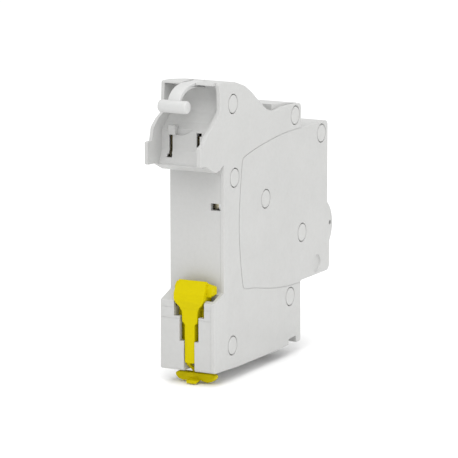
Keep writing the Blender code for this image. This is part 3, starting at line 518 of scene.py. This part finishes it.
NEAR_TOP = [(FRONT_Y, 28.9, 1.3), (-42.7, 29.2, 3.0), (-36.9, 29.3, 2.0), (-31.2, 28.7, 1.5), (-26.7, 30.0, 2.0),
            (-21.2, 33.6, 3.0), (-17.2, 36.4, 3.0), (-13.0, 38.7, 4.0), (-7.8, 40.3, 4.0), (0.0, 41.2, 4.0)]
FAR_TOP = [(FRONT_Y, 28.9, 1.3), (-42.0, 29.7, 3.0), (-34.0, 30.4, 3.0), (-27.0, 31.1, 3.0), (-20.8, 34.0, 3.0),
           (-15.0, 37.8, 4.0), (-9.0, 40.2, 4.0), (0.0, 41.2, 4.0)]


def side_outline(hook):
    if hook is HOOK_LEFT:
        return rounded([(3.2, TOP_Z, 0.8)] + hook + LOWER + CHEEK + UPPER[:3] + NEAR_TOP, 8)
    return rounded([(4.8, TOP_Z, 0.8)] + hook + LOWER + CHEEK + UPPER[:3] + FAR_TOP, 8)


def trim(obj, x, keep_above):
    """Cuts a closed mesh flat at X = x and closes the cut; keeps one side of it."""
    work = bmesh.new()
    work.from_mesh(obj.data)
    made = bmesh.ops.bisect_plane(work, geom=work.verts[:] + work.edges[:] + work.faces[:],
                                  dist=0.0000005, plane_co=(x * MM, 0, 0), plane_no=(1, 0, 0),
                                  clear_inner=keep_above, clear_outer=not keep_above)
    rim = [g for g in made["geom_cut"] if isinstance(g, bmesh.types.BMEdge)]
    bmesh.ops.triangle_fill(work, use_beauty=True, use_dissolve=True, edges=rim)
    bmesh.ops.recalc_face_normals(work, faces=work.faces)
    work.to_mesh(obj.data)
    work.free()
    smooth(obj.data)
    return obj


# ---- tray -----------------------------------------------------------------------
RIM = 0.42
shell = slab("shell_tray", [side_outline(HOOK_RIGHT)], XB - 3.0, XR, "X", HOUSING, RIM, 4)
trim(shell, XC + 0.04, True)

SOCKET = [(30.0, 60.0), (30.0, 10.0), (9.0, 10.0), (9.0, 17.6), (8.2, 17.9, 0.4), (6.6, 21.6, 0.6),
          (6.6, 27.4, 0.8), (3.6, 29.6, 1.5), (0.4, 32.6, 3.0), (-0.6, 36.0, 3.0),
          (-0.6, 40.4, 1.0), (7.0, 40.8), (7.0, 60.0)]
CAVITY = [(-1.5, 18.4, 0.5), (5.1, 18.8, 0.5), (5.1, 26.4, 0.5), (2.3, 27.4, 1.0),
          (-1.4, 31.2, 1.5), (-2.3, 35.0), (-2.3, 39.2, 0.5), (-8.6, 38.6, 2.0), (-14.5, 36.2, 3.0),
          (-19.6, 33.0, 3.0), (-24.6, 28.7, 3.0), (-28.5, 27.3, 2.0), (-34.0, 26.8),
          (FRONT_Y + WALL, 26.9, 0.5), (FRONT_Y + WALL, 19.8, 0.5), (NOSE_Y + WALL, 19.8, 0.5),
          (NOSE_Y + WALL, -4.5, 0.5)]
CAVITY_CHEEK = arc(TOG[0], TOG[1], CHEEK_R - WALL, 132.0, 214.0, 16)
CAVITY_LOW = [(CHIN_Y + WALL, -17.0), (CHIN_Y + WALL, NOSE_BOT_Z + WALL, 1.0),
              (FRONT_Y + WALL, NOSE_BOT_Z + WALL, 0.5), (FRONT_Y + WALL, -40.9, 0.5),
              (-41.0, -40.9, 0.3), (-40.6, -42.7, 0.3), (-1.5, -42.4, 0.5)]
cavity = slab("c_cavity", [rounded(CAVITY + CAVITY_CHEEK + CAVITY_LOW, 4)], -12.0, XR - WALL)
socket = slab("c_socket", [rounded(SOCKET, 8)], -12.0, 7.8)
pocket = turned("c_pocket", "Y", (31.4, 1.8),
                [(0.0, 5.9), (5.2, 5.9), (5.4, 6.1), (5.4, 9.0), (0.0, 9.0)], None, 64)
posts = [rod(f"a_post_{i}", "X", c, POST_R, XB, XR - 0.6, seg=32) for i, c in enumerate(RIVETS)]
jaw_wall = block("a_jaw_wall", DIV, (-1.6, 5.8), (18.2, 26.9))
pin_boss = rod("a_pin_boss", "X", TOG, 2.6, 5.5, XR - 0.6, seg=40)
holes = [rod(f"c_post_{i}", "X", c, 1.35, -12.0, -2.0, seg=24) for i, c in enumerate(RIVETS)]
pin_bore = rod("c_pin_bore", "X", TOG, 1.45, -12.0, 7.4, seg=32)

slots = [block("c_slot_n", (4.25, 5.35), (3.0, 9.0), (19.6, 26.0)),
         block("c_slot_p", (-4.65, -3.6), (3.0, 9.0), (22.9, 27.1)),
         block("c_slot_p2", (-5.3, -3.6), (3.0, 9.0), (26.1, 27.1)),
         block("c_slot_n2", (4.05, 5.75), (3.0, 9.0), (19.5, 20.5))]
slots += [slab(f"c_slot_thin_{i}", [[(4.9, 19.3), (7.05, 19.3), (6.05, 21.7), (6.05, 26.2), (4.9, 26.2)]],
               x - 1.6, x + 1.6) for i, x in enumerate((-4.1, 4.8))]
slot_tab = block("a_slot_tab", (3.0, 5.2), (5.4, 7.5), (26.3, 28.9))
window = block("c_window", (-12.0, -4.6), (-3.0, 3.0), (3.6, 5.7))
toggle_round = rod("c_toggle_round", "X", TOG, DRUM_R + 0.35, -TOG_HALF - 0.35, TOG_HALF + 0.35, seg=96)
toggle_front = block("c_toggle_front", (-TOG_HALF - 0.35, TOG_HALF + 0.35), (-80.0, -64.0), (-20.6, -1.7))
flag_window = slab("c_flag_window", [rounded([(5.0, -2.6, 0.4), (5.0, 2.6, 0.4), (8.0, 2.6, 0.4),
                                              (8.0, -2.6, 0.4)], 4)], -70.0, -64.5, "Y")
entries = [block(f"c_entry_{i}", (x - 2.6, x + 2.6 - (0.5 if x > 0 else 0)), (-40.4, -33.2), (-50.0, -40.0))
           for i, x in enumerate(TERM_X)]
drivers = [turned(f"c_driver_{i}", "Y", (TERM_Z, x),
                  [(0.0, -60.0), (r + 0.4, -60.0), (r + 0.4, FRONT_Y - 0.01), (r, FRONT_Y + 0.4), (r, -46.0),
                   (0.0, -46.0)], None, 48)
           for i, (x, r) in enumerate(((TERM_X[0], 2.9), (TERM_X[1], 2.75)))]
slot_top = block("c_clip_top", (CLIP_X - 5.0, CLIP_X + 5.0), (1.0, 9.0), (-27.3, -15.0))
slot_wing = block("c_clip_wing", (CLIP_X - 7.3, CLIP_X + 5.9), (1.0, 4.6), (-24.8, -15.0))
slot_mid = block("c_clip_mid", (CLIP_X - 3.15, CLIP_X + 3.15), (1.0, 9.0), (-34.6, -26.0))
slot_plate = block("c_clip_plate", (CLIP_X - 5.0, CLIP_X + 5.0), (1.0, 4.5), (-38.6, -20.0))
slot_foot = block("c_clip_foot", (CLIP_X - 6.9, CLIP_X + 6.9), (-4.5, 4.3), (-50.0, -43.4))
slot_low = block("c_clip_low", (CLIP_X - 1.8, CLIP_X + 1.8), (2.0, 9.0), (-50.0, -33.0))
slot_channel = slab("c_clip_channel", [[(9.0, -50.0), (9.0, -41.0), (3.0, -41.0), (1.0, -41.4), (-1.5, -42.75),
                                        (-7.5, -43.5), (-7.5, -50.0)]], CLIP_X - 1.8, CLIP_X + 1.8)
vent = block("c_vent", (-12.0, -5.0), (-32.2, -23.9), (28.3, 40.0))
recess = rod("c_recess", "X", (-4.6, 42.9), 3.4, -1.2, 4.6, seg=64)
notch = block("c_lever_notch", (LATCH_X[0] - 0.3, LATCH_X[1] + 0.3), (-2.0, 9.0), (39.4, 45.0))
lines = [block(f"c_line_{i}", (-12.0, 12.0), (REAR_BLOCK_Y - 0.07, REAR_BLOCK_Y + 1.0), (z - 0.09, z + 0.09))
         for i, z in enumerate((-24.8, -28.0))]
groove = block("c_groove", (6.9, 7.5), (2.5, 9.0), (28.2, 32.3))
flag_pin = rod("a_flag_pin", "X", FLAG_AX, 0.55, -6.8, XR - 0.6, seg=24)
latch_pin = rod("a_latch_pin", "X", LATCH_AX, 0.4, LATCH_X[0] - 1.5, LATCH_X[1] + 1.5, seg=24)

cut(shell, cavity)
join(shell, *posts, jaw_wall, pin_boss)
cut(shell, socket, pocket, *holes, pin_bore, *slots, window, toggle_round, toggle_front, flag_window,
    *entries, *drivers, slot_top, slot_wing, slot_mid, slot_plate, slot_low, slot_foot, slot_channel, vent,
    recess, notch, *lines)
join(shell, flag_pin, latch_pin, slot_tab)
settle(shell)
soften(shell, 0.11, 2, 42.0, True)
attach(shell, "housing")
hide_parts("base_housing")

# ---- cover ----------------------------------------------------------------------
cover = slab("shell_cover", [side_outline(HOOK_LEFT)] + [circle(y, z, PLUG_R + GAP, 64) for y, z in RIVETS],
             XL, XC + 3.0, "X", COVER, 0.22, 3)
trim(cover, XC, False)
panel_path = [(-61.0, 21.45), (-51.0, 21.4), (-39.0, 21.3), (-29.0, 20.5), (-19.4, 19.2), (-13.2, 17.9),
              (-11.5, 16.8), (-10.6, 12.0), (-9.5, 2.5), (-9.4, -5.0), (-10.4, -14.0), (-11.6, -20.0),
              (-12.9, -21.5), (-19.4, -22.4), (-29.0, -24.3), (-39.0, -25.5), (-48.0, -26.0), (-61.0, -26.4)]
panel_line = slab("c_panel_line", [strip(spline_points(panel_path, 6), 0.34)], XL - 1.0, XL + 0.16)
lower_line = slab("c_lower_line", [strip(spline_points([(4.5, -24.5), (2.0, -28.5), (0.3, -33.0), (-1.2, -38.0),
                                                         (-2.6, -42.4)], 6), 0.22)], XL - 1.0, XL + 0.07)
cover_pin = rod("c_cover_pin", "X", TOG, 1.5, XC - 0.6, XC + 1.0, seg=32)
seal_hole = rod("c_seal_hole", "X", (-68.9, -10.9), 0.7, -12.0, -4.0, seg=32)
dimple = turned("c_dimple", "X", (-59.9, -22.2),
                [(0.0, XL - 1.0), (2.75, XL - 1.0), (2.75, XL), (2.5, XL + 0.5), (0.0, XL + 0.55)], None, 56)
cut(cover, panel_line, cover_pin, seal_hole, dimple)
settle(cover)
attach(cover, "housing")
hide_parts("side_cover")

# ---- rivet plugs ----------------------------------------------------------------
for i, c in enumerate(RIVETS):
    disc = turned(f"plug_disc_{i + 1}", "X", c,
                  [(0.0, XL + 0.10), (1.5, XL + 0.09), (2.2, XL + 0.045), (2.42, XL + 0.02), (2.56, XL + 0.05),
                   (2.63, XL + 0.12), (PLUG_R, XL + 0.22), (PLUG_R, XC - 0.05), (1.1, XC - 0.05),
                   (1.1, -2.6), (0.7, -2.3), (0.0, -2.3)], PLUG, 72)
    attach(disc, "housing")
    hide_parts(f"rivet_plug_{i + 1}")

# ---- toggle ---------------------------------------------------------------------
lever_dir = 180.0 + OFF_ANGLE
toggle = slab("moulded_toggle", [circle(*TOG, DRUM_R, 128)], -TOG_HALF, TOG_HALF, "X", TOGGLE, 0.3, 3)
lever = slab("a_lever", [rounded([polar(TOG, 6.0, lever_dir + 34), (*polar(TOG, LEVER_OUT - 0.6, lever_dir + 9), 1.2),
                                  (*polar(TOG, LEVER_OUT, lever_dir - 6), 1.2), polar(TOG, 7.0, lever_dir - 34)], 10)],
             -TOG_HALF + 0.4, TOG_HALF - 0.4, "X", None, 0.45, 4)
crank = polar(TOG, CRANK_R, lever_dir - 180.0)
slot_a, slot_b = polar(crank, 1.6, -45.0), polar(crank, 1.6, 221.0)
link_slot = slab("c_link_slot", [[slot_a, polar(slot_a, 15.0, 44.0), polar(crank, 20.0, 90.0),
                                  polar(slot_b, 15.0, 137.0), slot_b, polar(crank, 1.6, 270.0)]], -1.1, 1.1)
grips = [rod(f"c_grip_{i}", "X", polar(TOG, r, lever_dir + a), 0.34, -TOG_HALF + 1.0, TOG_HALF - 1.0, seg=20)
         for i, (r, a) in enumerate(((9.6, 24.3), (10.7, 20.3), (11.8, 16.9), (12.9, 14.0)))]
join(toggle, lever)
cut(toggle, link_slot, rod("c_crank_bore", "X", crank, 0.75, -3.3, 1.9, seg=24),
    rod("c_spring_slot", "X", TOG, 3.1, 3.3, 9.0, seg=48),
    rod("c_toggle_bore", "X", TOG, 1.45, -12.0, 12.0, seg=32), *grips)
settle(toggle)
soften(toggle, 0.12, 2, 42.0)
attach(toggle, "toggle")
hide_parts("toggle_handle")

# ---- comb latch lever -----------------------------------------------------------
latch_path = spline_points([(LATCH_AX[0], LATCH_AX[1] + 0.1), (2.4, 40.5), (5.4, 40.55), (8.0, 40.3),
                            (10.3, 39.65), (12.1, 38.55), (13.2, 37.15), TBAR], 6)
latch = slab("moulded_latch", [strip(latch_path, 1.4)], LATCH_X[0], LATCH_X[1], "X", LATCH, 0.28, 3)
tbar = turned("a_tbar", "X", TBAR,
              [(0.0, -4.6), (1.35, -4.6), (1.65, -4.52), (1.8, -4.3), (TBAR_R, -4.05), (TBAR_R, 4.0), (1.8, 4.25),
               (1.65, 4.47), (1.35, 4.55), (0.0, 4.55)], None, 56)
barrel = rod("a_barrel", "X", LATCH_AX, 0.85, LATCH_X[0], LATCH_X[1], seg=40)
join(latch, tbar, barrel)
cut(latch, rod("c_latch_bore", "X", LATCH_AX, 0.5, -12.0, 12.0, seg=28))
settle(latch)
soften(latch, 0.1, 2, 48.0)
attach(latch, "latch")
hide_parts("comb_latch_lever")

# ---- rail clip ------------------------------------------------------------------


def clip_outline(points):
    return [(z, CLIP_X + x) for x, z in points] + [(z, CLIP_X - x) for x, z in reversed(points)]


def clip_rounded(points, seg=6):
    half = [(z, CLIP_X + x) + tuple(r) for x, z, *r in points]
    other = [(z, CLIP_X - x) + tuple(r) for x, z, *r in reversed(points)]
    return rounded(half + other, seg)


clip = slab("moulded_clip", [clip_rounded([(4.3, -20.0), (4.3, -23.0, 0.6), (3.3, -24.2, 0.8), (2.65, -25.6, 1.2),
                                           (2.5, -28.9, 0.5), (1.65, -29.7, 0.4), (1.65, -41.1, 0.4)])],
            2.4, 5.7, "Y", CLIP, 0.2, 3)
head = slab("a_clip_head", [rounded([(1.3, -18.4, 0.4), (3.7, -16.6, 0.5), (6.2, -20.4, 1.0), (6.35, -22.6, 0.8),
                                     (5.95, -24.6, 1.0), (5.3, -26.4, 1.0), (1.3, -26.4, 0.4)], 8)],
            CLIP_X - 6.0, CLIP_X + 6.0)
head_shape = slab("k_clip_head", [clip_rounded([(4.35, -15.0), (4.45, -16.8), (4.93, -19.4, 2.0), (4.95, -22.0, 1.2),
                                                (4.4, -23.3, 0.8), (3.3, -24.3, 1.0), (2.7, -25.6, 1.2), (2.5, -27.0)])],
                  -2.0, 9.0, "Y")
keep(head, head_shape)
settle(head)
wings = slab("a_clip_wings", [rounded([(1.3, -18.4, 0.4), (2.9, -17.4, 0.5), (4.3, -18.6, 0.6), (4.3, -21.4, 0.5),
                                       (1.3, -21.4, 0.4)], 6)], CLIP_X - 6.7, CLIP_X + 5.6)
wing_shape = slab("k_clip_wings", [rounded([(-17.0, CLIP_X - 4.0, 0.5), (-17.0, CLIP_X + 6.5), (-21.9, CLIP_X + 6.5),
                                            (-21.9, CLIP_X - 5.4, 0.5), (-20.4, CLIP_X - 6.9, 0.5),
                                            (-18.6, CLIP_X - 6.9, 0.5)], 4)], -2.0, 9.0, "Y")
keep(wings, wing_shape)
settle(wings)
web = slab("a_clip_web", [strip([(4.6, -40.4), (4.3, -41.6), (0.6, -44.0), (0.7, -45.4)], 0.75)],
           CLIP_X + 0.5, CLIP_X + 1.6)
foot = slab("a_clip_foot", [clip_rounded([(0.6, -44.6), (5.2, -44.5, 0.8), (6.5, -44.9, 0.9), (6.6, -45.8, 0.9),
                                          (5.6, -46.8, 1.2), (4.0, -47.25, 1.2), (2.4, -47.0, 1.0), (1.0, -46.5)])],
            0.1, 2.4, "Y", None, 0.35, 4)
tongue = slab("a_clip_tongue", [strip(spline_points([(0.9, -45.8), (1.7, -46.25), (2.8, -46.55), (3.8, -46.75),
                                                     (4.9, -46.85)], 5), 0.9)],
              CLIP_X - 1.7, CLIP_X + 1.7, "X", None, 0.3, 4)
plate = block("a_clip_plate", (CLIP_X - 4.9, CLIP_X + 4.9), (1.3, 2.9), (-35.4, -20.5))
join(clip, plate, head, wings, web, foot, tongue)
settle(clip)
soften(clip, 0.16, 3, 36.0, True)
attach(clip, "clip")
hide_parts("rail_clip")

# ---- terminal screws --------------------------------------------------------------
for name, x in (("phase", TERM_X[0]), ("neutral", TERM_X[1])):
    screw = turned(f"turned_screw_{name}", "Y", (TERM_Z, x),
                   [(0.0, -47.3), (1.75, -47.3), (2.05, -47.24), (2.25, -47.1), (2.3, -46.9), (2.3, -46.05),
                    (2.2, -45.9), (1.5, -45.9), (1.5, -45.4), (1.34, -45.1), (1.5, -44.75), (1.34, -44.4), (1.5, -44.05),
                    (1.34, -43.7), (1.5, -43.35), (1.34, -43.0), (1.5, -42.65), (1.34, -42.3), (1.5, -41.95),
                    (1.34, -41.6), (1.5, -41.25), (1.34, -40.9), (1.5, -40.55), (1.4, -40.1), (1.15, -39.75),
                    (0.0, -39.7)], SCREW, 64)
    drive = block(f"c_drive_{name}", (x - 3.0, x + 3.0), (-48.0, -46.5), (TERM_Z - 0.4, TERM_Z + 0.4))
    cross = block(f"c_cross_{name}", (x - 0.4, x + 0.4), (-48.0, -46.4), (TERM_Z - 1.6, TERM_Z + 1.6))
    cut(screw, drive, cross)
    settle(screw)
    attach(screw, f"{name}_screw")
    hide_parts(f"{name}_terminal_screw")

# ---- carried-over CAD nodes ---------------------------------------------------------
FINISH = {
    "toggle_pin": STEEL, "crank_pin": STEEL, "toggle_spring": STEEL, "drive_link": STEEL,
    "contact_carrier": NYLON, "carrier_pin": STEEL, "phase_contact_arm": COPPER, "neutral_contact_arm": COPPER,
    "phase_moving_tip": SILVER, "neutral_moving_tip": SILVER, "phase_fixed_tip": SILVER,
    "neutral_fixed_tip": SILVER, "phase_fixed_strap": COPPER, "neutral_line_strap": COPPER,
    "phase_jaw": BRASS, "neutral_jaw": BRASS, "coil_bobbin": NYLON, "trip_coil": ENAMEL, "coil_yoke": STEEL,
    "coil_core": STEEL, "plunger": STEEL, "plunger_spring": STEEL, "trip_lever": NYLON, "trip_lever_pin": STEEL,
    "bimetal_strip": BIMETAL, "bimetal_bracket": STEEL, "calibration_screw": BRASS, "pole_divider": FIBRE,
    "arc_sheet_left": FIBRE, "arc_sheet_right": FIBRE, "lower_arc_runner": STEEL, "phase_load_strap": COPPER,
    "neutral_load_strap": COPPER, "phase_terminal_cage": STEEL, "neutral_terminal_cage": STEEL,
    "phase_braid": COPPER, "neutral_braid": COPPER, "position_flag": FLAG,
}
for k in range(6):
    FINISH[f"arc_plate_{k + 1}"] = STEEL
for name, mat in FINISH.items():
    mesh = NODES[name].data
    mesh.materials.clear()
    mesh.materials.append(mat)
    mesh.update()

# ---- stage, light and camera --------------------------------------------------------
for obj in list(WORK.objects):
    bpy.data.objects.remove(obj, do_unlink=True)
SCENE.collection.children.unlink(WORK)
bpy.data.collections.remove(WORK)

ground = bpy.data.meshes.new("studio_floor")
work = bmesh.new()
bmesh.ops.create_grid(work, x_segments=8, y_segments=8, size=4.0)
work.to_mesh(ground)
work.free()
floor = bpy.data.objects.new("studio_floor", ground)
SCENE.collection.objects.link(floor)
floor.location = (0.0, 0.0, cad_low[2] - 0.0003)
ground.materials.append(floor_finish("studio_paper", (0.93, 0.93, 0.93)))

world = bpy.data.worlds.new("studio")
SCENE.world = world
world.use_nodes = True
sky = world.node_tree.nodes["Background"]
sky.inputs["Color"].default_value = (1.0, 1.0, 1.0, 1.0)
sky.inputs["Strength"].default_value = 0.95


def area(name, place, target, size, power, colour=(1.0, 1.0, 1.0)):
    lamp = bpy.data.lights.new(name, "AREA")
    lamp.shape = "DISK"
    lamp.size = size
    lamp.energy = power
    lamp.color = colour
    obj = bpy.data.objects.new(name, lamp)
    SCENE.collection.objects.link(obj)
    obj.location = place
    aim = Vector(target) - Vector(place)
    obj.rotation_euler = aim.to_track_quat("-Z", "Y").to_euler()
    return obj


area("key", (-0.35, 0.75, 0.95), (0, -0.02, 0), 0.8, 6.0)
area("fill", (-1.1, 0.1, 0.35), (0, -0.02, 0), 0.9, 2.6)
area("top", (0.15, -0.15, 1.4), (0, -0.02, 0), 1.1, 5.0)

psi, phi, roll = math.radians(28.11), math.radians(10.707), math.radians(-0.055)
DIST, FOCAL, SHIFT_X, SHIFT_Y = 958.03, 3307.1, 9.3515, -14.5387
turn = math.pi + psi
back_dir = Vector((math.sin(turn) * math.cos(phi), -math.cos(turn) * math.cos(phi), math.sin(phi)))
right_dir = Vector((0, 0, 1)).cross(back_dir).normalized()
up_dir = back_dir.cross(right_dir)
lens = bpy.data.cameras.new("photo_view")
camera = bpy.data.objects.new("photo_view", lens)
SCENE.collection.objects.link(camera)
lens.sensor_width = 36.0
lens.sensor_fit = "HORIZONTAL"
lens.lens = 36.0 * FOCAL / 458.0
lens.clip_start = 0.01
lens.clip_end = 20.0
place = (right_dir * SHIFT_X + up_dir * SHIFT_Y + back_dir * DIST + Vector((0, 0, 12.5))) * MM
grid = Matrix((right_dir, up_dir, back_dir)).transposed() @ Matrix.Rotation(roll, 3, "Z")
camera.matrix_world = Matrix.Translation(place) @ grid.to_4x4()
SCENE.camera = camera
SCENE.view_settings.view_transform = "Standard"
SCENE.view_settings.look = "None"
SCENE.view_settings.exposure = 0.0
